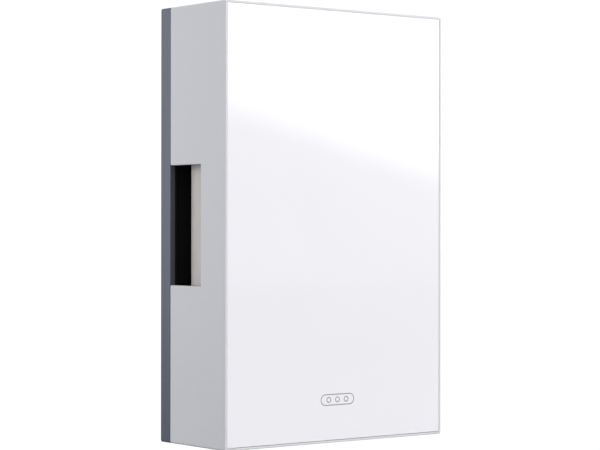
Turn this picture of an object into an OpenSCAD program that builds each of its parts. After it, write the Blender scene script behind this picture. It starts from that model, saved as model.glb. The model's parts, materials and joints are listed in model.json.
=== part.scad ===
// Two-tone wall chime: a box-shaped cover with a flush gloss front panel over a
// base plate. A chassis in the base plate carries a solenoid, its striker and
// two hung tone bars.
// Frame: origin at the middle of the back face, on the wall. +X right, +Y into
// the wall, +Z up. Depths are counted from the wall towards the room, along -Y.

/* [Case] */
// Height of the case on the wall
case_h = 200; // [196:1:212]
// Width of the case
case_w = 127.5; // [124:0.5:136]
// Depth from the wall to the face of the front panel
case_d = 51; // [50:0.5:58]
// Depth of the base plate's edge, from the wall to the cover's seam
base_d = 7.75; // [7:0.25:8.5]
// Radius of the case's four upright corners, seen from the front
corner_r = 1; // [0.5:0.25:2]
// Wall thickness of the cover's sides
cover_t = 2.2; // [2:0.1:2.6]
// Wall thickness of the base plate's rim
rim_t = 2.6; // [2.4:0.1:3]
// Thickness of the base plate's floor
floor_t = 2.5; // [2.2:0.1:3]
// Thickness of the chassis plate that lies on the floor
chassis_t = 2; // [1.6:0.1:2.2]

/* [Front panel] */
// Width of the cover's rim that frames the panel
frame_w = 1.1; // [1:0.05:1.5]
// Mean gap between the panel's edge and the cover's rim
panel_gap = 0.14; // [0.12:0.01:0.2]
// How far the bonded panel sits towards the rim's upper left corner
panel_off = 0.08; // [0:0.01:0.08]
// Thickness of the panel
panel_t = 2.6; // [2:0.1:2.8]
// Thickness of the bonding tape behind the panel
tape_t = 0.6; // [0.4:0.1:0.8]

/* [Sound notches] */
// Height of each side notch
notch_h = 55; // [40:1:60]
// Distance of the notch's front edge behind the front face
notch_set = 19; // [17:0.5:24]

/* [Tone bars] */
// Length of the low tone bar
low_bar_l = 164; // [156:1:168]
// Pitch ratio of the high bar to the low one
pitch_ratio = 1.25; // [1.2:0.01:1.33]
// Thickness of the tone bars
bar_t = 2.5; // [2:0.1:3]
// Width of the tone bars
bar_w = 30; // [28:1:30]
// Distance from the case's side to the tone bar's outer face
bar_inset = 7.4; // [7.2:0.1:8.5]
// How far a struck bar can move outward on its pegs
bar_play = 0.8; // [0.4:0.1:1]

/* [Striker] */
// Gap between the striker and the low bar at rest
gap_low = 7.5; // [6:0.5:9]
// Gap between the striker and the high bar at rest
gap_high = 3; // [2.5:0.5:4]
// Radius of the plunger core
core_r = 3.5; // [3.2:0.1:3.6]

/* [Terminals] */
// Distance between neighbouring terminals
term_pitch = 11; // [10:0.5:11.5]

/* [Wall fixing] */
// Sideways distance between the wall slots
slot_sx = 72; // [68:1:76]
// Upright distance between the wall slots
slot_sz = 156; // [152:1:160]
// Length of each wall slot
slot_l = 9; // [8:0.5:12]
// Radius of each wall slot
slot_r = 2.25; // [2:0.05:2.5]
// Bore radius of the cable grommet
cable_r = 3.2; // [2.5:0.1:4]

/* [Hidden] */

half_w = case_w / 2;
seam = 0.15;
front_wall_t = 1.8;
wall_face_d = case_d - panel_t - tape_t;        // where the tape sits
cover_in_d = wall_face_d - front_wall_t;        // inside of the cover's front wall
notch_d = case_d - notch_set;                   // front edge of the notch

bar_out = half_w - bar_inset;
bar_in = bar_out - bar_t;
bar_d0 = 13.9;
axis_d = bar_d0 + bar_w / 2;
high_bar_l = low_bar_l / sqrt(pitch_ratio);
node_k = 0.5 - 0.2242;                          // still points of a free bar
low_z = node_k * low_bar_l;
high_z = node_k * high_bar_l;
bar_hole_r = 4;
peg_r = 2;
lip_t = 1.5;
post_x = bar_in - lip_t - 0.05;
post_t = 6;
keep_x = bar_out + lip_t + bar_play + 0.1;
keep_t = 0.8;
peg_end = keep_x + keep_t + 0.8;

yoke_d = 14.8;
yoke_t = 1.6;
yoke_x = 20;
yoke_hz = 13;
ear_z = 19;
sleeve_r = 4.2;
coil_x = 17;

plate_d = floor_t + chassis_t;                  // face of the chassis plate
chassis_hz = 71;
hold_x = 38;                                    // chassis screws
hold_z = 64;
hold_d = 7.5;

term_z0 = -68;
term_z1 = -54;
term_z = (term_z0 + term_z1) / 2;
ear_x = 21.5;
cable_z = -84;
arm_x = 30;
emblem_z = -case_h / 2 + 19.8;

// Points of each coil lead: X, depth, Z, from the coil pin to the terminal
lead_path = [[16.8, 28.9, -13.6], [16.8, 28.9, -17], [16.7, 27.5, -20], [16.4, 22, -23],
    [15.8, 14, -26], [14.8, 8, -30], [13.6, 6.2, -36], [12.2, 6.2, -43],
    [11.3, 7.2, -48], [11, 8.7, -52], [11, 9, -55], [11, 9, -63]];

// ---------- shared shapes ----------
module slab(d0, d1) translate([0, -d0, 0]) rotate([90, 0, 0]) linear_extrude(d1 - d0) children();
module bx(x0, x1, d0, d1, z0, z1) translate([x0, -d1, z0]) cube([x1 - x0, d1 - d0, z1 - z0]);
module xcyl(x0, x1, r, d, z) translate([x0, -d, z]) rotate([0, 90, 0]) cylinder(h = x1 - x0, r = r, $fn = 64);
module ycyl(d0, d1, r, x, z) translate([x, -d0, z]) rotate([90, 0, 0]) cylinder(h = d1 - d0, r = r, $fn = 64);
module zcyl(z0, z1, r, x, d) translate([x, -d, z0]) cylinder(h = z1 - z0, r = r, $fn = 48);
module rrect(w, h, r) {
    square([w - 2 * r, h], center = true);
    square([w, h - 2 * r], center = true);
    for (x = [-1, 1], z = [-1, 1]) translate([x * (w / 2 - r), z * (h / 2 - r)]) circle(r, $fn = 48);
}
module slot2d(len, r) {
    square([len - 2 * r, 2 * r], center = true);
    for (s = [-1, 1]) translate([s * (len / 2 - r), 0]) circle(r, $fn = 48);
}
module side(s) { if (s < 0) mirror([1, 0, 0]) children(); else children(); }

function unit(v) = v / norm(v);
function at(p, i) = p[max(0, min(len(p) - 1, i))];
// Catmull-Rom point between p[i] and p[i + 1]
function curve(p, i, t) = let (a = at(p, i - 1), b = at(p, i), c = at(p, i + 1), d = at(p, i + 2))
    0.5 * (2 * b + (c - a) * t + (2 * a - 5 * b + 4 * c - d) * t * t + (3 * b - a - 3 * c + d) * t * t * t);
function smooth(p, n) = concat([for (i = [0:len(p) - 2], k = [0:n - 1]) curve(p, i, k / n)], [p[len(p) - 1]]);
// A tube of sides flats along the points; up is never along the path
module sweep(pts, r, sides, up) {
    n = len(pts);
    rings = [for (i = [0:n - 1]) let (t = unit(pts[min(n - 1, i + 1)] - pts[max(0, i - 1)]),
        u = unit(up - (up * t) * t), v = cross(t, u))
        [for (k = [0:sides - 1]) pts[i] + r * (cos(360 * k / sides) * u + sin(360 * k / sides) * v)]];
    polyhedron(points = [for (g = rings) each g],
        faces = concat([[for (k = [0:sides - 1]) k]],
            [for (i = [0:n - 2], k = [0:sides - 1]) let (a = i * sides + k, b = i * sides + (k + 1) % sides)
                [a, a + sides, b + sides, b]],
            [[for (k = [sides - 1:-1:0]) (n - 1) * sides + k]]), convexity = 8);
}

// ---------- base ----------
// Snap arm at the top or bottom edge; its bump meets the cover's groove
module snap_arm(x) {
    za = case_h / 2 - cover_t - 0.3;
    bx(x - 5, x + 5, floor_t - 0.5, 17, za - 1.7, za);
    xcyl(x - 4, x + 4, 0.7, 15, za - 0.45);
    for (dx = [-3.5, 3.5]) translate([x + dx - 0.5, 0, za - 1.6]) rotate([90, 0, 90]) linear_extrude(1)
        polygon([[-(floor_t - 0.5), 0], [-(floor_t - 0.5), -4], [-11, 0]]);
}
module base_plate() color("slategray") difference() {
    union() {
        difference() {
            slab(0, base_d) rrect(case_w, case_h, corner_r);
            slab(floor_t, base_d + 1) square([case_w - 2 * rim_t, case_h - 2 * rim_t], center = true);
        }
        for (x = [-1, 1], z = [-1, 1]) ycyl(floor_t - 0.5, hold_d, 3.2, x * hold_x, z * hold_z);
        for (x = [-1, 1], m = [0, 1]) mirror([0, 0, m]) snap_arm(x * arm_x);
    }
    for (x = [-1, 1], z = [-1, 1]) {
        translate([x * slot_sx / 2, 0, z * slot_sz / 2]) slab(-1, floor_t + 1) slot2d(slot_l, slot_r);
        ycyl(2, hold_d + 1, 1.25, x * hold_x, z * hold_z);
    }
    ycyl(-1, floor_t + 1, 7, 0, cable_z);
    ycyl(-1, 1.1, 8.5, 0, cable_z);
    for (x = [-1, 1], z = [-1, 1]) bx(x > 0 ? 9 : -56, x > 0 ? 56 : -9, -1, 0.7, z > 0 ? 12 : -66, z > 0 ? 66 : -12);
}
// One post with the peg that carries a tone bar's grommet
module post(z) {
    bx(post_x - post_t, post_x, plate_d - 0.5, axis_d + 5, z - 5, z + 5);
    xcyl(post_x - 1, peg_end, peg_r, axis_d, z);
    translate([0, 0, z - 1]) linear_extrude(2) polygon([[post_x - post_t + 0.5, -(plate_d - 0.5)],
        [post_x - post_t - 12, -(plate_d - 0.5)], [post_x - post_t + 0.5, -22]]);
}
// Black plate on the base plate's floor, with everything that carries the mechanism
module chassis_plate() color("#202020") difference() {
    union() {
        slab(floor_t, plate_d) square([case_w - 2 * rim_t - 0.6, 2 * chassis_hz], center = true);
        for (s = [-1, 1]) side(s) bx(half_w - rim_t - 1.5, half_w - rim_t - 0.3, floor_t + 0.5, base_d - 0.6, -chassis_hz, chassis_hz);
        side(-1) { post(low_z); post(-low_z); }
        side(1) { post(high_z); post(-high_z); }
        for (z = [-1, 1]) {
            ycyl(plate_d - 0.5, yoke_d, 4, 0, z * ear_z);
            bx(-18, 18, plate_d - 0.5, yoke_d, z * 11 - 0.8, z * 11 + 0.8);
        }
        for (x = [-1, 1]) {
            ycyl(plate_d - 0.5, 8, 3.2, x * ear_x, term_z);
            for (dx = [-1, 1]) ycyl(plate_d - 0.5, 9.5, 1, x * 12.9 + dx * 2, -39.5);
            for (z = [-1, 1]) ycyl(floor_t + 0.5, hold_d, 5.6, x * hold_x, z * hold_z);
        }
    }
    for (z = [-1, 1]) ycyl(5.5, yoke_d + 1, 1.25, 0, z * ear_z);
    for (x = [-1, 1]) {
        ycyl(4, 9, 1.25, x * ear_x, term_z);
        for (z = [-1, 1]) ycyl(floor_t - 1, hold_d + 1, 3.3, x * hold_x, z * hold_z);
    }
}
module chassis_screws() color("lightgray") for (x = [-1, 1], z = [-1, 1]) screw(3, hold_d + 0.05, 1.2, 4.7, 1.5, x * hold_x, z * hold_z);
module cable_grommet() color("dimgray") difference() {
    union() {
        ycyl(0.1, 1.05, 8.3, 0, cable_z);
        ycyl(0.9, 2.7, 6.95, 0, cable_z);
        ycyl(2.55, 4, 9, 0, cable_z);
        ycyl(3.9, 6, 5.2, 0, cable_z);
    }
    ycyl(-1, 7, cable_r, 0, cable_z);
}

// ---------- terminals ----------
module terminal_block() color("whitesmoke") difference() {
    union() {
        bx(-18, 18, plate_d, 16, term_z0, term_z1);
        for (s = [-1, 1]) side(s) bx(17.5, 25.5, 8, 10.5, term_z - 4, term_z + 4);
    }
    for (i = [-1:1]) {
        x = i * term_pitch;
        bx(x - 3.6, x + 3.6, 5.7, 13.1, term_z0 + 1.9, term_z1 - 1.9);
        zcyl(term_z0 - 1, term_z0 + 2.5, 2, x, 9);
        zcyl(term_z1 - 2.5, term_z1 + 1, 1.2, x, 9);
        ycyl(12.5, 17, 2.4, x, term_z);
    }
    for (i = [-0.5, 0.5]) bx(i * term_pitch - 0.5, i * term_pitch + 0.5, 14.6, 17, term_z0 - 1, term_z1 + 1);
    for (x = [-1, 1]) ycyl(7, 12, 1.6, x * ear_x, term_z);
}
module terminal_clamps() color("goldenrod") for (i = [-1:1]) difference() {
    x = i * term_pitch;
    bx(x - 3.5, x + 3.5, 5.8, 13, term_z0 + 2, term_z1 - 2);
    zcyl(term_z0, term_z1, 1.8, x, 9);
    ycyl(9, 14, 1.5, x, term_z);
}
// Slotted screw: shank of radius r from d0 to d1, cheese head of radius hr above it
module screw(d0, d1, r, hr, ht, x, z) difference() {
    union() {
        ycyl(d0, d1 + 0.1, r, x, z);
        ycyl(d1, d1 + ht, hr, x, z);
    }
    bx(x - hr - 1, x + hr + 1, d1 + ht * 0.5, d1 + ht + 1, z - 0.3, z + 0.3);
}
module terminal_screws() color("silver") for (i = [-1:1]) screw(10.4, 13.15, 1.45, 2.25, 1.8, i * term_pitch, term_z);
module terminal_block_screws() color("lightgray") for (x = [-1, 1]) screw(4.5, 10.55, 1.2, 2.6, 1.6, x * ear_x, term_z);

// ---------- solenoid ----------
module solenoid_yoke() color("silver") difference() {
    union() {
        bx(-yoke_x, yoke_x, yoke_d, yoke_d + yoke_t, -yoke_hz, yoke_hz);
        bx(-6, 6, yoke_d, yoke_d + yoke_t, -ear_z - 4.5, ear_z + 4.5);
        for (s = [-1, 1]) side(s) bx(yoke_x - yoke_t, yoke_x, yoke_d, axis_d + yoke_hz, -yoke_hz, yoke_hz);
    }
    xcyl(-yoke_x - 1, yoke_x + 1, sleeve_r + 0.05, axis_d, 0);
    for (z = [-1, 1]) ycyl(yoke_d - 1, yoke_d + yoke_t + 1, 1.7, 0, z * ear_z);
}
module yoke_screws() color("lightgray") for (z = [-1, 1]) screw(6, yoke_d + yoke_t + 0.05, 1.2, 3, 1.8, 0, z * ear_z);
module coil_bobbin() color("ivory") difference() {
    union() {
        xcyl(-coil_x - 1.3, coil_x + 1.3, 5.2, axis_d, 0);
        for (s = [-1, 1]) side(s) {
            xcyl(coil_x, coil_x + 1.3, 11.5, axis_d, 0);
            bx(coil_x - 1.7, coil_x + 1.3, axis_d - 2.5, axis_d + 2.5, -13.5, -10.95);
        }
    }
    xcyl(-coil_x - 2, coil_x + 2, sleeve_r + 0.05, axis_d, 0);
    for (s = [-1, 1]) side(s) zcyl(-15, -11.5, 0.42, 16.8, axis_d);
}
module coil_winding() color("chocolate") difference() {
    xcyl(-coil_x + 0.05, coil_x - 0.05, 10.8, axis_d, 0);
    xcyl(-coil_x - 1, coil_x + 1, 5.25, axis_d, 0);
}
module coil_pins() color("gold") for (s = [-1, 1]) side(s) zcyl(-15.5, -11.55, 0.4, 16.8, axis_d);
module guide_sleeve() color("darkgoldenrod") difference() {
    xcyl(-yoke_x - 2, yoke_x + 2, sleeve_r, axis_d, 0);
    xcyl(-yoke_x - 3, yoke_x + 3, core_r + 0.06, axis_d, 0);
}
module lead(s) sweep([for (p = smooth([for (q = lead_path) [s * q[0] * (q[0] > 11.01 ? 1 : term_pitch / 11), -q[1], q[2]]], 5)) p], 0.75, 8, [1, 0, 0]);
module coil_lead_left() color("firebrick") lead(-1);
module coil_lead_right() color("royalblue") lead(1);

// ---------- striker ----------
tip_r = 2.6;
left_end = bar_in - gap_low;
right_end = bar_in - gap_high;
core_l = 21;
module plunger_core() color("gray") {
    xcyl(-core_l, core_l, core_r, axis_d, 0);
    xcyl(-core_l - 5, core_l + 5, 1.5, axis_d, 0);
}
// A nylon tip turned about its axis: blind socket at the root, rounded nose
module tip(end, collar) translate([0, -axis_d, 0]) rotate([0, 90, 0]) difference() {
    rotate_extrude($fn = 64) polygon(concat([[0, core_l + 0.05], [core_r - 0.3, core_l + 0.05], [core_r - 0.3, core_l + 7]],
        [[tip_r, core_l + 8]],
        collar ? [[tip_r, 38], [6.2, 38.5], [6.2, 40], [tip_r, 40.5]] : [],
        [for (a = [0:15:75]) [tip_r - 2 + 2 * cos(a), end - 2 + 2 * sin(a)]],
        [[tip_r - 2, end], [0, end]]));
    cylinder(h = core_l + 5.2, r = 1.52, $fn = 48);
}
module striker_tip_left() color("white") side(-1) tip(left_end, false);
module striker_tip_right() color("white") tip(right_end, true);
module return_spring() color("lightsteelblue") {
    turns = 7;
    x0 = yoke_x + 0.4;
    x1 = 38.5 - 0.4;
    n = 16;
    pts = [for (i = [0:turns * n]) let (a = 360 * i / n) [x0 + (x1 - x0) * i / (turns * n), 4.95 * cos(a) - axis_d, 4.95 * sin(a)]];
    sweep(pts, 0.3, 6, [1, 0, 0]);
}

// ---------- tone bars ----------
module tone_bar(l, hz) difference() {
    translate([bar_in, -axis_d, 0]) rotate([90, 0, 90]) linear_extrude(bar_t) rrect(bar_w, l, 2);
    for (z = [-1, 1]) xcyl(bar_in - 1, bar_out + 1, bar_hole_r, axis_d, z * hz);
}
module grommets(hz) for (z = [-1, 1]) difference() {
    union() {
        xcyl(bar_in - lip_t, bar_in - 0.05, 6, axis_d, z * hz);
        xcyl(bar_in - 0.2, bar_out + 0.2, bar_hole_r - 0.05, axis_d, z * hz);
        xcyl(bar_out + 0.05, bar_out + lip_t, 6, axis_d, z * hz);
    }
    xcyl(bar_in - 3, bar_out + 3, peg_r + 0.06, axis_d, z * hz);
}
module keepers(hz) for (z = [-1, 1]) difference() {
    xcyl(keep_x, keep_x + keep_t, 4.2, axis_d, z * hz);
    xcyl(keep_x - 1, keep_x + keep_t + 1, peg_r + 0.03, axis_d, z * hz);
}
module tone_bar_low() color("silver") side(-1) tone_bar(low_bar_l, low_z);
module tone_bar_high() color("silver") tone_bar(high_bar_l, high_z);
module bar_grommets_low() color("dimgray") side(-1) grommets(low_z);
module bar_grommets_high() color("dimgray") grommets(high_z);
module bar_retainers() color("black") { side(-1) keepers(low_z); keepers(high_z); }

// ---------- cover ----------
module emblem2d() translate([0, emblem_z]) {
    difference() { slot2d(19.8, 2.65); slot2d(18.9, 2.2); }
    for (x = [-5.1, 0, 5.1]) translate([x, 0]) difference() { circle(1.35, $fn = 48); circle(0.9, $fn = 48); }
}
module cover_shell() color("gainsboro") difference() {
    union() {
        difference() {
            slab(base_d + seam, case_d) rrect(case_w, case_h, corner_r);
            slab(base_d - 1, cover_in_d) square([case_w - 2 * cover_t, case_h - 2 * cover_t], center = true);
        }
        for (x = [-1, 1]) bx(x * 24 - 0.6, x * 24 + 0.6, cover_in_d - 1.5, cover_in_d + 0.5, -case_h / 2 + 1, case_h / 2 - 1);
        for (z = [-1, 1]) bx(-48, 48, cover_in_d - 1.5, cover_in_d + 0.5, z * 46 - 0.6, z * 46 + 0.6);
    }
    slab(wall_face_d, case_d + 1) square([case_w - 2 * frame_w, case_h - 2 * frame_w], center = true);
    for (s = [-1, 1]) side(s) bx(half_w - 5, half_w + 1, base_d - 1, notch_d, -notch_h / 2, notch_h / 2);
    for (x = [-1, 1], m = [0, 1]) mirror([0, 0, m])
        bx(x * arm_x - 6, x * arm_x + 6, 13.9, 16.1, case_h / 2 - cover_t - 1, case_h / 2 - cover_t + 0.5);
}
module panel2d(m) translate([-panel_off, panel_off]) square([case_w - 2 * (frame_w + panel_gap + m), case_h - 2 * (frame_w + panel_gap + m)], center = true);
module panel_tape() color("darkgray") slab(wall_face_d, wall_face_d + tape_t) difference() { panel2d(1); panel2d(9); }
module front_panel() color("white") difference() {
    slab(wall_face_d + tape_t, case_d) panel2d(0);
    slab(case_d - 0.2, case_d + 1) emblem2d();
}
module front_emblem() color("silver") slab(case_d - 0.2, case_d) emblem2d();

base_plate();
chassis_plate();
chassis_screws();
cable_grommet();
terminal_block();
terminal_clamps();
terminal_screws();
terminal_block_screws();
solenoid_yoke();
yoke_screws();
coil_bobbin();
coil_winding();
coil_pins();
guide_sleeve();
coil_lead_left();
coil_lead_right();
bar_retainers();
plunger_core();
striker_tip_left();
striker_tip_right();
return_spring();
tone_bar_low();
tone_bar_high();
bar_grommets_low();
bar_grommets_high();
cover_shell();
panel_tape();
front_panel();
front_emblem();
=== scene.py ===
import json
import math

import bmesh
import bpy
from mathutils import Matrix, Vector

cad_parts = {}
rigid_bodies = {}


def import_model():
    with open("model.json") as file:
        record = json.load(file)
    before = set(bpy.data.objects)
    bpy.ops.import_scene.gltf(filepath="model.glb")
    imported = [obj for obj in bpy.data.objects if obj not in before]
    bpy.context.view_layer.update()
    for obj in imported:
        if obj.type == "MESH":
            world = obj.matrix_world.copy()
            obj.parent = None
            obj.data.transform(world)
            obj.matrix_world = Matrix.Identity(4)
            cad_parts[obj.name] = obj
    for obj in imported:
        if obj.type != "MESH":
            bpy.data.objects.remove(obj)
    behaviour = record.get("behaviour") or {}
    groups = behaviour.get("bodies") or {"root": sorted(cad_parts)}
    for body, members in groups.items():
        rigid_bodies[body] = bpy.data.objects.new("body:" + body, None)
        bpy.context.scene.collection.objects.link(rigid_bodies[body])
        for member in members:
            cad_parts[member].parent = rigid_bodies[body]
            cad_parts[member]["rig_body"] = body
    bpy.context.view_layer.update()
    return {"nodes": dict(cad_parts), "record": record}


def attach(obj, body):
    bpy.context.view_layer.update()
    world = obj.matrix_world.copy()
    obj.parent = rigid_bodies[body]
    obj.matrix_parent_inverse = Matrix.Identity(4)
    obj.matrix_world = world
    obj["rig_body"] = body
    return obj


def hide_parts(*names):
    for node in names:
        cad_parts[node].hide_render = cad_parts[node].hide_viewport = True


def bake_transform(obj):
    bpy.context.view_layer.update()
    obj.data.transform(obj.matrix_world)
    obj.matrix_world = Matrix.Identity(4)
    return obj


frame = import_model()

MM = 0.001
NODES = frame["nodes"]
BODY = {n: b for b, ns in frame["record"]["behaviour"]["bodies"].items() for n in ns}
SLOT = {s["node"]: s["material_slot"] for s in frame["record"]["subparts"]}
scene = bpy.context.scene

HALF_W, HALF_H, CASE_D, BASE_D = 63.75, 100.0, 51.0, 7.75   # mm, as the CAD case
ENV, FRONT_W, SIDE_W = 0.67, 30.5, 0.92                     # studio light levels
AXIS_D = 28.9                                               # depth of the plunger's axis


# ------------------------------------------------------------------ materials
def material(name):
    m = bpy.data.materials.new(name)
    m.use_nodes = True
    t = m.node_tree
    b = t.nodes["Principled BSDF"]
    return m, t, b


def coords(t, scale=(1, 1, 1), kind="Object"):
    tc = t.nodes.new("ShaderNodeTexCoord")
    mp = t.nodes.new("ShaderNodeMapping")
    mp.inputs["Scale"].default_value = scale
    t.links.new(tc.outputs[kind], mp.inputs["Vector"])
    return mp.outputs["Vector"]


def noise(t, vec, scale, detail=3.0, rough=0.5):
    n = t.nodes.new("ShaderNodeTexNoise")
    n.inputs["Scale"].default_value = scale
    n.inputs["Detail"].default_value = detail
    n.inputs["Roughness"].default_value = rough
    t.links.new(vec, n.inputs["Vector"])
    return n.outputs["Fac"]


def ramp(t, fac, stops):
    r = t.nodes.new("ShaderNodeValToRGB")
    e = r.color_ramp.elements
    while len(e) < len(stops):
        e.new(0.5)
    for el, (p, c) in zip(e, stops):
        el.position = p
        el.color = (*c, 1.0) if len(c) == 3 else c
    t.links.new(fac, r.inputs["Fac"])
    return r.outputs["Color"]


def spread(t, fac, lo, hi, a=0.3, b=0.7):
    r = t.nodes.new("ShaderNodeMapRange")
    r.inputs["From Min"].default_value = a
    r.inputs["From Max"].default_value = b
    r.inputs["To Min"].default_value = lo
    r.inputs["To Max"].default_value = hi
    t.links.new(fac, r.inputs["Value"])
    return r.outputs["Result"]


def bump(t, b, height, strength, distance):
    n = t.nodes.new("ShaderNodeBump")
    n.inputs["Strength"].default_value = strength
    n.inputs["Distance"].default_value = distance
    t.links.new(height, n.inputs["Height"])
    t.links.new(n.outputs["Normal"], b.inputs["Normal"])
    return n


def mix(t, fac, a, b):
    n = t.nodes.new("ShaderNodeMix")
    n.data_type = "FLOAT"
    t.links.new(a, n.inputs["A"])
    t.links.new(b, n.inputs["B"])
    n.inputs["Factor"].default_value = fac
    return n.outputs["Result"]


def moulded(name, colour, rough, grain=0.35, depth=0.010, var=0.03, spec=0.5):
    """Spark-eroded moulded plastic: fine grain in the surface, faint flow mottling in the colour."""
    m, t, b = material(name)
    v = coords(t)
    fine = noise(t, v, 1.0 / (grain * MM), 2.0, 0.55)
    flow = noise(t, v, 38.0, 3.0, 0.6)
    lo = tuple(c * (1 - var) for c in colour)
    hi = tuple(min(1.0, c * (1 + var)) for c in colour)
    t.links.new(ramp(t, flow, [(0.3, lo), (0.7, hi)]), b.inputs["Base Color"])
    t.links.new(spread(t, mix(t, 0.5, fine, flow), rough - 0.05, rough + 0.05), b.inputs["Roughness"])
    bump(t, b, fine, 0.6, depth * MM)
    b.inputs["Specular IOR Level"].default_value = spec
    return m


def skinned(name, skin, core, half_x, half_z, rough_skin, rough_core):
    """Black moulding with a painted skin on its outer sides: the paint wraps a little way over the edges."""
    m, t, b = material(name)
    v = coords(t)
    fine = noise(t, v, 3100.0, 2.0, 0.55)
    flow = noise(t, v, 38.0, 3.0, 0.6)
    tc = t.nodes.new("ShaderNodeTexCoord")
    xyz = t.nodes.new("ShaderNodeSeparateXYZ")
    t.links.new(tc.outputs["Object"], xyz.inputs[0])

    def math_node(op, a, bb):
        n = t.nodes.new("ShaderNodeMath")
        n.operation = op
        for i, q in enumerate((a, bb)):
            if q is None:
                continue
            if isinstance(q, (int, float)):
                n.inputs[i].default_value = q
            else:
                t.links.new(q, n.inputs[i])
        return n.outputs[0]

    far_x = math_node("SUBTRACT", math_node("ABSOLUTE", xyz.outputs["X"], None), half_x * MM)
    far_z = math_node("SUBTRACT", math_node("ABSOLUTE", xyz.outputs["Z"], None), half_z * MM)
    edge = math_node("MAXIMUM", far_x, far_z)
    edge = math_node("ADD", edge, math_node("MULTIPLY", math_node("SUBTRACT", fine, 0.5), 0.12 * MM))
    mask = spread(t, edge, 0.0, 1.0, -0.06 * MM, 0.06 * MM)
    a = ramp(t, flow, [(0.3, tuple(c * 0.95 for c in core)), (0.7, tuple(c * 1.05 for c in core))])
    c = ramp(t, flow, [(0.3, tuple(q * 0.95 for q in skin)), (0.7, tuple(q * 1.05 for q in skin))])
    mx = t.nodes.new("ShaderNodeMix")
    mx.data_type = "RGBA"
    t.links.new(mask, mx.inputs["Factor"])
    t.links.new(a, mx.inputs[6])
    t.links.new(c, mx.inputs[7])
    t.links.new(mx.outputs[2], b.inputs["Base Color"])
    r = spread(t, mix(t, 0.5, fine, flow), -0.04, 0.04)
    t.links.new(math_node("ADD", r, spread(t, mask, rough_core, rough_skin, 0.0, 1.0)), b.inputs["Roughness"])
    bump(t, b, fine, 0.6, 0.009 * MM)
    return m


def metal(name, colour, rough, axis=(1, 1, 1), streak=1200.0, var=0.12, depth=0.002):
    """Ground or drawn metal: grooves run along the axis whose scale is small."""
    m, t, b = material(name)
    v = coords(t, axis)
    lines = noise(t, v, streak, 4.0, 0.6)
    cloud = noise(t, coords(t), 60.0, 3.0, 0.6)
    lo = tuple(c * (1 - var) for c in colour)
    t.links.new(ramp(t, mix(t, 0.4, lines, cloud), [(0.3, lo), (0.65, colour)]), b.inputs["Base Color"])
    t.links.new(spread(t, lines, rough - 0.07, rough + 0.09), b.inputs["Roughness"])
    bump(t, b, lines, 0.5, depth * MM)
    b.inputs["Metallic"].default_value = 1.0
    return m


def rubber(name, colour):
    m, t, b = material(name)
    v = coords(t)
    fine = noise(t, v, 3200.0, 3.0, 0.6)
    dust = noise(t, v, 240.0, 4.0, 0.65)
    t.links.new(ramp(t, dust, [(0.35, colour), (0.75, tuple(min(1.0, c * 1.7 + 0.012) for c in colour))]), b.inputs["Base Color"])
    t.links.new(spread(t, dust, 0.62, 0.82), b.inputs["Roughness"])
    bump(t, b, fine, 0.5, 0.012 * MM)
    b.inputs["Specular IOR Level"].default_value = 0.35
    return m


def gloss_panel(name):
    """White paint behind clear acrylic: smooth clear face, faint orange peel, white body."""
    m, t, b = material(name)
    v = coords(t)
    slow = noise(t, v, 22.0, 2.0, 0.5)
    t.links.new(ramp(t, slow, [(0.3, (0.868, 0.858, 0.889)), (0.7, (0.880, 0.870, 0.901))]), b.inputs["Base Color"])
    wipe = noise(t, coords(t, (0.6, 1, 1.6)), 70.0, 4.0, 0.6)
    t.links.new(spread(t, wipe, 0.018, 0.032), b.inputs["Roughness"])
    bump(t, b, slow, 0.03, 0.02 * MM)
    b.inputs["IOR"].default_value = 1.49
    return m


def insulation(name, colour):
    m, t, b = material(name)
    v = coords(t)
    n = noise(t, v, 420.0, 3.0, 0.5)
    t.links.new(ramp(t, n, [(0.3, tuple(c * 0.85 for c in colour)), (0.7, colour)]), b.inputs["Base Color"])
    t.links.new(spread(t, n, 0.28, 0.4), b.inputs["Roughness"])
    bump(t, b, n, 0.2, 0.01 * MM)
    return m


def enamelled_copper(name):
    m, t, b = material(name)
    v = coords(t, (1.0, 0.15, 0.15))
    n = noise(t, v, 2200.0, 2.0, 0.5)
    c = noise(t, coords(t), 160.0, 3.0, 0.5)
    t.links.new(ramp(t, mix(t, 0.5, n, c), [(0.3, (0.40, 0.105, 0.035)), (0.55, (0.66, 0.20, 0.075)), (0.75, (0.80, 0.30, 0.13))]), b.inputs["Base Color"])
    t.links.new(spread(t, n, 0.22, 0.36), b.inputs["Roughness"])
    b.inputs["Metallic"].default_value = 0.85
    b.inputs["Coat Weight"].default_value = 0.6
    b.inputs["Coat Roughness"].default_value = 0.12
    return m


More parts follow.
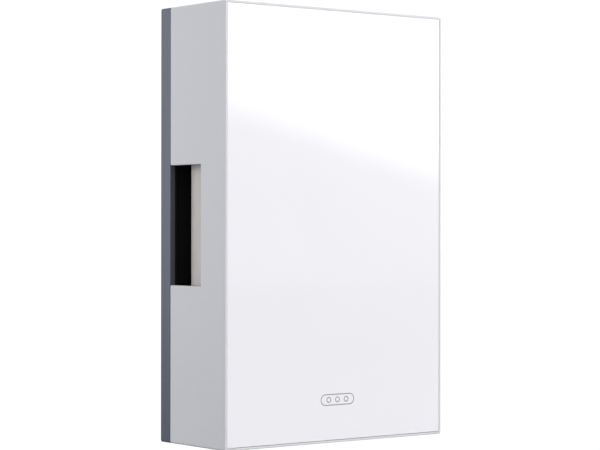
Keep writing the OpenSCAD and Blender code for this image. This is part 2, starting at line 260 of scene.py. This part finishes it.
MATS = {
    "cover_plastic": moulded("cover_plastic", (0.690, 0.693, 0.722), 0.50, 0.30, 0.008, 0.012, 0.45),
    "panel_gloss": gloss_panel("panel_gloss"),
    "emblem_grey": moulded("emblem_grey", (0.25, 0.25, 0.262), 0.4, 0.2, 0.004, 0.04),
    "base_plastic": skinned("base_plastic", (0.104, 0.119, 0.168), (0.120, 0.120, 0.121), 62.9, 99.15, 0.36, 0.45),
    # chassis: black plastic, set far darker than real black plastic as painted shade so the interior seen through the
    # side notches reads pitch black
    "chassis_plastic": moulded("chassis_plastic", (0.012, 0.012, 0.013), 0.55, 0.32, 0.010, 0.08, 0.4),
    "tape_foam": rubber("tape_foam", (0.22, 0.22, 0.23)),
    "bar_steel": metal("bar_steel", (0.585, 0.560, 0.548), 0.64, (1, 1, 0.05), 2600.0, 0.08),
    "yoke_steel": metal("yoke_steel", (0.60, 0.60, 0.60), 0.38, (0.06, 1, 1), 1500.0, 0.18),
    "screw_steel": metal("screw_steel", (0.66, 0.66, 0.63), 0.30, (1, 1, 1), 2400.0, 0.2),
    "core_steel": metal("core_steel", (0.52, 0.52, 0.53), 0.25, (2.5, 0.2, 0.2), 1600.0, 0.2),
    "spring_steel": metal("spring_steel", (0.55, 0.55, 0.56), 0.28, (1, 1, 1), 1800.0, 0.15),
    "copper_wire": enamelled_copper("copper_wire"),
    "brass": metal("brass", (0.80, 0.58, 0.26), 0.28, (0.1, 1, 1), 1700.0, 0.18),
    "tin_pin": metal("tin_pin", (0.74, 0.73, 0.69), 0.35, (1, 1, 1), 2600.0, 0.1),
    "bobbin_nylon": moulded("bobbin_nylon", (0.70, 0.66, 0.54), 0.42, 0.25, 0.005, 0.03),
    "tip_nylon": moulded("tip_nylon", (0.80, 0.79, 0.75), 0.38, 0.3, 0.004, 0.02),
    "terminal_plastic": moulded("terminal_plastic", (0.72, 0.72, 0.70), 0.45, 0.28, 0.006, 0.02),
    "black_rubber": rubber("black_rubber", (0.018, 0.018, 0.019)),
    "keeper_steel": metal("keeper_steel", (0.12, 0.12, 0.13), 0.4, (1, 1, 1), 2000.0, 0.3),
    "lead_red": insulation("lead_red", (0.42, 0.022, 0.02)),
    "lead_blue": insulation("lead_blue", (0.022, 0.07, 0.34)),
}


# ------------------------------------------------------------------ geometry
def finish_mesh(name, bm, node, smooth_deg=32, slot_name=None, weighted=True):
    """bm becomes a piece that stands for node and rides on its body."""
    me = bpy.data.meshes.new(name)
    bm.normal_update()
    bm.to_mesh(me)
    bm.free()
    o = bpy.data.objects.new(name, me)
    scene.collection.objects.link(o)
    return adopt(o, node, smooth_deg, slot_name, weighted)


def adopt(o, node, smooth_deg=32, slot_name=None, weighted=True):
    me = o.data
    me.polygons.foreach_set("use_smooth", [True] * len(me.polygons))
    me.set_sharp_from_angle(angle=math.radians(smooth_deg))
    me.materials.clear()
    me.materials.append(MATS[slot_name or SLOT[node]])
    if weighted:
        w = o.modifiers.new("even_normals", "WEIGHTED_NORMAL")
        w.keep_sharp = True
        w.weight = 80
    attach(o, BODY[node])
    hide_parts(node)
    return o


def mid_mm(e):
    """Middle of an edge as (x, depth from the wall, z), in mm."""
    c = (e.verts[0].co + e.verts[1].co) / 2 / MM
    return c.x, -c.y, c.z


def refine(node, width=0.25, rule=None, seg=3, limit=36, name=None, smooth_deg=32):
    """The CAD node's own shape with its flat faces joined and its sharp edges rounded.
    rule(x, d, z, direction, convex) gives an edge's radius in mm, or None for the default."""
    bm = bmesh.new()
    bm.from_mesh(NODES[node].data)
    bmesh.ops.remove_doubles(bm, verts=bm.verts, dist=1.5e-6)
    bmesh.ops.dissolve_degenerate(bm, edges=bm.edges, dist=1e-6)
    bmesh.ops.dissolve_limit(bm, angle_limit=math.radians(0.4), verts=bm.verts, edges=bm.edges)
    bm.normal_update()
    lay = bm.edges.layers.float.new("bevel_weight_edge")
    widths = {}
    top = 0.0
    for e in bm.edges:
        if len(e.link_faces) != 2:
            continue
        if e.calc_face_angle(0.0) < math.radians(limit):
            continue
        w = width
        if rule is not None:
            x, d, z = mid_mm(e)
            dirn = (e.verts[1].co - e.verts[0].co).normalized()
            r = rule(x, d, z, dirn, e.is_convex)
            if r is not None:
                w = r
        widths[e] = w
        top = max(top, w)
    for e, w in widths.items():
        e[lay] = w / top if top else 0.0
    me = bpy.data.meshes.new(name or node + "_shape")
    bm.to_mesh(me)
    bm.free()
    o = bpy.data.objects.new((name or node) + "_fine", me)
    scene.collection.objects.link(o)
    if top > 0:
        mod = o.modifiers.new("edges", "BEVEL")
        mod.limit_method = "WEIGHT"
        mod.width = top * MM
        mod.segments = seg
        mod.profile = 0.5
        mod.use_clamp_overlap = False
        mod.miter_outer = "MITER_SHARP"
        dg = bpy.context.evaluated_depsgraph_get()
        dg.update()
        new = bpy.data.meshes.new_from_object(o.evaluated_get(dg))
        o.modifiers.clear()
        o.data = new
    return adopt(o, node, smooth_deg)


def tube(name, pts, r, sides, node, closed_ends=True):
    """A round tube swept along points in mm (x, depth, z), with rotation-minimising frames."""
    P = [Vector((p[0], -p[1], p[2])) for p in pts]
    bm = bmesh.new()
    rings = []
    up = Vector((1, 0, 0))
    for i, p in enumerate(P):
        t = (P[min(i + 1, len(P) - 1)] - P[max(i - 1, 0)]).normalized()
        up = (up - t * up.dot(t)).normalized()
        v = t.cross(up)
        rings.append([bm.verts.new((p + (up * math.cos(a) + v * math.sin(a)) * r) * MM)
                      for a in (2 * math.pi * k / sides for k in range(sides))])
    for a, b in zip(rings, rings[1:]):
        for k in range(sides):
            bm.faces.new((a[k], a[(k + 1) % sides], b[(k + 1) % sides], b[k]))
    if closed_ends:
        for ring, i, s in ((rings[0], 0, -1), (rings[-1], -1, 1)):
            c = bm.verts.new(P[i] * MM)
            for k in range(sides):
                bm.faces.new((ring[k], ring[(k + 1) % sides], c))
    bmesh.ops.recalc_face_normals(bm, faces=bm.faces)
    return finish_mesh(name, bm, node, 50, None, False)


def curve_points(ctrl, n):
    out = []
    at = lambda i: ctrl[max(0, min(len(ctrl) - 1, i))]
    for i in range(len(ctrl) - 1):
        a, b, c, d = at(i - 1), at(i), at(i + 1), at(i + 2)
        for k in range(n):
            t = k / n
            out.append([0.5 * (2 * b[j] + (c[j] - a[j]) * t + (2 * a[j] - 5 * b[j] + 4 * c[j] - d[j]) * t * t
                               + (3 * b[j] - a[j] - 3 * c[j] + d[j]) * t ** 3) for j in range(3)])
    out.append(list(ctrl[-1]))
    return out


# cover: soft outer edges, a thin rim round the panel, rounded notch edges
def cover_rule(x, d, z, dirn, convex):
    ax, az = abs(x), abs(z)
    if not convex:
        return 0.35
    if ax > HALF_W - 3.2 and az < 27.6 and d < 32.1:
        if abs(ax - HALF_W) < 0.05:
            return 0.35                       # notch edge on the outside
        if abs(ax - (HALF_W - 2.2)) < 0.05:
            return 0.2
        return 0.9                            # the notch's two front corners
    if d > CASE_D - 0.05 and (ax > HALF_W - 0.9 or az > HALF_H - 0.9):
        return 0.4                            # outer front edge
    if d > CASE_D - 0.05:
        return 0.1                            # inner edge of the rim
    return 0.18


refine("cover_shell", 0.2, cover_rule, 4)


def panel_rule(x, d, z, dirn, convex):
    if d > CASE_D - 0.05 and (abs(x) > 60 or abs(z) > 96):
        return 0.12
    if abs(x) > 60 and abs(z) > 96:
        return 0.3
    if abs(x) < 12 and abs(z + 80.2) < 4:
        return 0.0
    return 0.1


refine("front_panel", 0.1, panel_rule, 4)
refine("front_emblem", 0.0)
refine("panel_tape", 0.1)


def base_rule(x, d, z, dirn, convex):
    if not convex:
        return 0.3
    if d < 0.05:
        return 0.3
    if abs(x) > 62 or abs(z) > 98:
        return 0.25
    return 0.2


refine("base_plate", 0.25, base_rule, 3)
refine("chassis_plate", 0.3)
refine("chassis_screws", 0.15)
refine("cable_grommet", 0.3)
refine("terminal_block", 0.3)
refine("terminal_clamps", 0.15)
refine("terminal_screws", 0.12)
refine("terminal_block_screws", 0.15)


def yoke_rule(x, d, z, dirn, convex):
    ax = abs(x)
    if abs(ax - 20) < 0.05 and abs(d - 14.8) < 0.05:
        return 1.9                            # outside of the bend
    if abs(ax - 18.4) < 0.05 and abs(d - 16.4) < 0.05:
        return 0.4
    if abs(dirn.x) > 0.9 and ax > 18.3 and d > 41 and abs(z) > 12:
        return 1.2
    return 0.15


refine("solenoid_yoke", 0.15, yoke_rule, 4)
refine("yoke_screws", 0.18)
refine("coil_bobbin", 0.25)
refine("coil_pins", 0.08)
refine("guide_sleeve", 0.1)
refine("bar_retainers", 0.12)
refine("plunger_core", 0.3)
refine("striker_tip_left", 0.15)
refine("striker_tip_right", 0.15)
refine("tone_bar_low", 0.18)
refine("tone_bar_high", 0.18)
refine("bar_grommets_low", 0.3)
refine("bar_grommets_high", 0.3)


# coil: turns of round wire lying side by side between the spool's flanges
def coil():
    x0, x1, r_in, r_out, pitch = -16.95, 16.95, 5.25, 10.8, 0.565
    n = int((x1 - x0) / pitch)
    pitch = (x1 - x0) / n
    prof = [(x0, r_in), (x0, r_out - pitch / 2)]
    for i in range(n):
        for a in range(0, 181, 30):
            if a == 0 and i:
                continue
            t = math.radians(180 - a)
            prof.append((x0 + pitch * (i + 0.5) + pitch / 2 * math.cos(t), r_out - pitch / 2 + pitch / 2 * math.sin(t)))
    prof += [(x1, r_in)]
    sides = 96
    bm = bmesh.new()
    rings = []
    for k in range(sides):
        a = 2 * math.pi * k / sides
        rings.append([bm.verts.new(((x + (0 if j in (0, 1, len(prof) - 1, len(prof) - 2) else 0) ) * MM,
                                    (-AXIS_D + r * math.cos(a)) * MM, r * math.sin(a) * MM)) for j, (x, r) in enumerate(prof)])
    m = len(prof)
    for k in range(sides):
        A, B = rings[k], rings[(k + 1) % sides]
        for j in range(m):
            bm.faces.new((A[j], A[(j + 1) % m], B[(j + 1) % m], B[j]))
    bmesh.ops.recalc_face_normals(bm, faces=bm.faces)
    return finish_mesh("coil_turns", bm, "coil_winding", 60, None, False)


coil()

LEAD = [(16.8, 28.9, -13.6), (16.8, 28.9, -17), (16.7, 27.5, -20), (16.4, 22, -23), (15.8, 14, -26), (14.8, 8, -30),
        (13.6, 6.2, -36), (12.2, 6.2, -43), (11.3, 7.2, -48), (11, 8.7, -52), (11, 9, -55), (11, 9, -63)]
for s, node, nm in ((-1, "coil_lead_left", "lead_left_wire"), (1, "coil_lead_right", "lead_right_wire")):
    tube(nm, curve_points([(s * x, d, z) for x, d, z in LEAD], 10), 0.75, 20, node)


def spring():
    x0, x1, r, wire, turns = 20.4, 38.1, 4.95, 0.3, 7.0
    pts = []
    n = 40
    for i in range(int(turns * n) + 1):
        t = i / n
        # the first and last turns lie nearly flat against their seats
        u = t / turns
        k = 0.86
        e = min(1.0, max(0.0, (t - 0.75) / (turns - 1.5)))
        x = x0 + wire + (x1 - x0 - 2 * wire) * ((1 - k) * u + k * e)
        a = 2 * math.pi * t
        pts.append((x, AXIS_D - r * math.cos(a), r * math.sin(a)))
    coils = tube("spring_coils", pts, wire, 12, "return_spring")
    # the coils are taken off their body and baked in place in world space, riding on no body
    coils.parent = None
    coils.matrix_world = Matrix.Identity(4)
    if "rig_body" in coils:
        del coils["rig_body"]
    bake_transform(coils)


spring()

# ------------------------------------------------------------------ stage
def stage_plane(name, size, loc, rot=(0, 0, 0)):
    me = bpy.data.meshes.new(name)
    sx, sy = size[0] / 2, size[1] / 2
    me.from_pydata([(-sx, -sy, 0), (sx, -sy, 0), (sx, sy, 0), (-sx, sy, 0)], [], [(0, 1, 2, 3)])
    o = bpy.data.objects.new(name, me)
    o.location = loc
    o.rotation_euler = rot
    scene.collection.objects.link(o)
    return o


def camera_split(t, target_socket, seen_shader, other_shader):
    """White where the camera looks past the object, quieter where the object is lit by it."""
    path = t.nodes.new("ShaderNodeLightPath")
    mx = t.nodes.new("ShaderNodeMixShader")
    t.links.new(path.outputs["Is Camera Ray"], mx.inputs["Fac"])
    t.links.new(other_shader, mx.inputs[1])
    t.links.new(seen_shader, mx.inputs[2])
    t.links.new(mx.outputs[0], target_socket)


floor = stage_plane("floor", (14, 14), (0, 0, -0.30))
fm = bpy.data.materials.new("floor_paper")
fm.use_nodes = True
ft = fm.node_tree
for n in list(ft.nodes):
    ft.nodes.remove(n)
fo = ft.nodes.new("ShaderNodeOutputMaterial")
fd = ft.nodes.new("ShaderNodeBsdfDiffuse")
fd.inputs["Color"].default_value = (0.30, 0.30, 0.31, 1)
fe = ft.nodes.new("ShaderNodeEmission")
fe.inputs["Color"].default_value = (1, 1, 1, 1)
fe.inputs["Strength"].default_value = 1.05
camera_split(ft, fo.inputs["Surface"], fe.outputs[0], fd.outputs[0])
floor.data.materials.append(fm)

world = bpy.data.worlds.new("studio")
scene.world = world
world.use_nodes = True
wt = world.node_tree
for n in list(wt.nodes):
    wt.nodes.remove(n)
out = wt.nodes.new("ShaderNodeOutputWorld")
seen = wt.nodes.new("ShaderNodeBackground")
seen.inputs["Color"].default_value = (1, 1, 1, 1)
seen.inputs["Strength"].default_value = 1.05
env = wt.nodes.new("ShaderNodeBackground")
env.inputs["Color"].default_value = (0.97, 0.98, 1.0, 1)
env.inputs["Strength"].default_value = ENV
camera_split(wt, out.inputs["Surface"], seen.outputs[0], env.outputs[0])


def area(name, loc, target, size, power, colour=(1, 1, 1)):
    l = bpy.data.lights.new(name, "AREA")
    l.shape = "RECTANGLE"
    l.size, l.size_y = size
    l.energy = power
    l.color = colour
    o = bpy.data.objects.new(name, l)
    o.location = loc
    o.rotation_mode = "QUATERNION"
    o.rotation_quaternion = (Vector(target) - Vector(loc)).to_track_quat("-Z", "Y")
    scene.collection.objects.link(o)
    return o


area("front_box", (0.55, -2.0, 1.1), (0, 0, 0), (1.4, 1.0), FRONT_W)
area("side_box", (-0.47, 0.26, 0.09), (-0.06, -0.02, 0.03), (0.34, 0.34), SIDE_W)


def soft_card(name, a, b, height, level, soft):
    """Glowing card in the plane y = a.y; its lower edge runs from a to b and fades in over soft metres."""
    A, B = Vector(a), Vector(b)
    along = (B - A).normalized()
    rise = Vector((-along.z, 0, along.x))
    if rise.z < 0:
        rise = -rise
    length = (B - A).length
    me = bpy.data.meshes.new(name)
    me.from_pydata([(0, 0, 0), (length, 0, 0), (length, 0, height), (0, 0, height)], [], [(0, 1, 2, 3)])
    o = bpy.data.objects.new(name, me)
    m = Matrix((along, along.cross(rise) * -1, rise)).transposed().to_4x4()
    m.translation = A
    o.matrix_world = m
    scene.collection.objects.link(o)
    mat = bpy.data.materials.new(name)
    mat.use_nodes = True
    t = mat.node_tree
    for n in list(t.nodes):
        t.nodes.remove(n)
    mo = t.nodes.new("ShaderNodeOutputMaterial")
    em = t.nodes.new("ShaderNodeEmission")
    tc = t.nodes.new("ShaderNodeTexCoord")
    xyz = t.nodes.new("ShaderNodeSeparateXYZ")
    t.links.new(tc.outputs["Object"], xyz.inputs[0])
    r = t.nodes.new("ShaderNodeMapRange")
    r.interpolation_type = "SMOOTHSTEP"
    r.inputs["From Min"].default_value = 0.0
    r.inputs["From Max"].default_value = soft
    r.inputs["To Min"].default_value = ENV
    r.inputs["To Max"].default_value = level
    t.links.new(xyz.outputs["Z"], r.inputs["Value"])
    t.links.new(r.outputs["Result"], em.inputs["Strength"])
    t.links.new(em.outputs[0], mo.inputs["Surface"])
    me.materials.append(mat)
    return o


# lower edge of the card, as the panel mirrors it to the camera: a slanted soft line across the panel
soft_card("reflector_card", (0.70, -1.6, 0.209), (1.95, -1.6, -0.078), 0.42, 5.0, 0.075)

# ------------------------------------------------------------------ camera
yaw, pitch, roll = math.radians(37.778), math.radians(-0.028), math.radians(0.059)
fwd = Vector((math.sin(yaw) * math.cos(pitch), math.cos(yaw) * math.cos(pitch), math.sin(pitch)))
right = Vector((math.cos(yaw), -math.sin(yaw), 0))
up = right.cross(fwd)
r2 = right * math.cos(roll) + up * math.sin(roll)
u2 = up * math.cos(roll) - right * math.sin(roll)
cam_data = bpy.data.cameras.new("camera")
cam_data.lens = 121.197
cam_data.sensor_width = 36.0
cam_data.sensor_fit = "HORIZONTAL"
cam_data.clip_start, cam_data.clip_end = 0.05, 60
cam = bpy.data.objects.new("camera", cam_data)
m = Matrix((r2, u2, -fwd)).transposed().to_4x4()
m.translation = Vector((-0.58449, -0.77677, 0.00066))
cam.matrix_world = m
scene.collection.objects.link(cam)
scene.camera = cam
scene.view_settings.view_transform = "Standard"
scene.view_settings.look = "None"
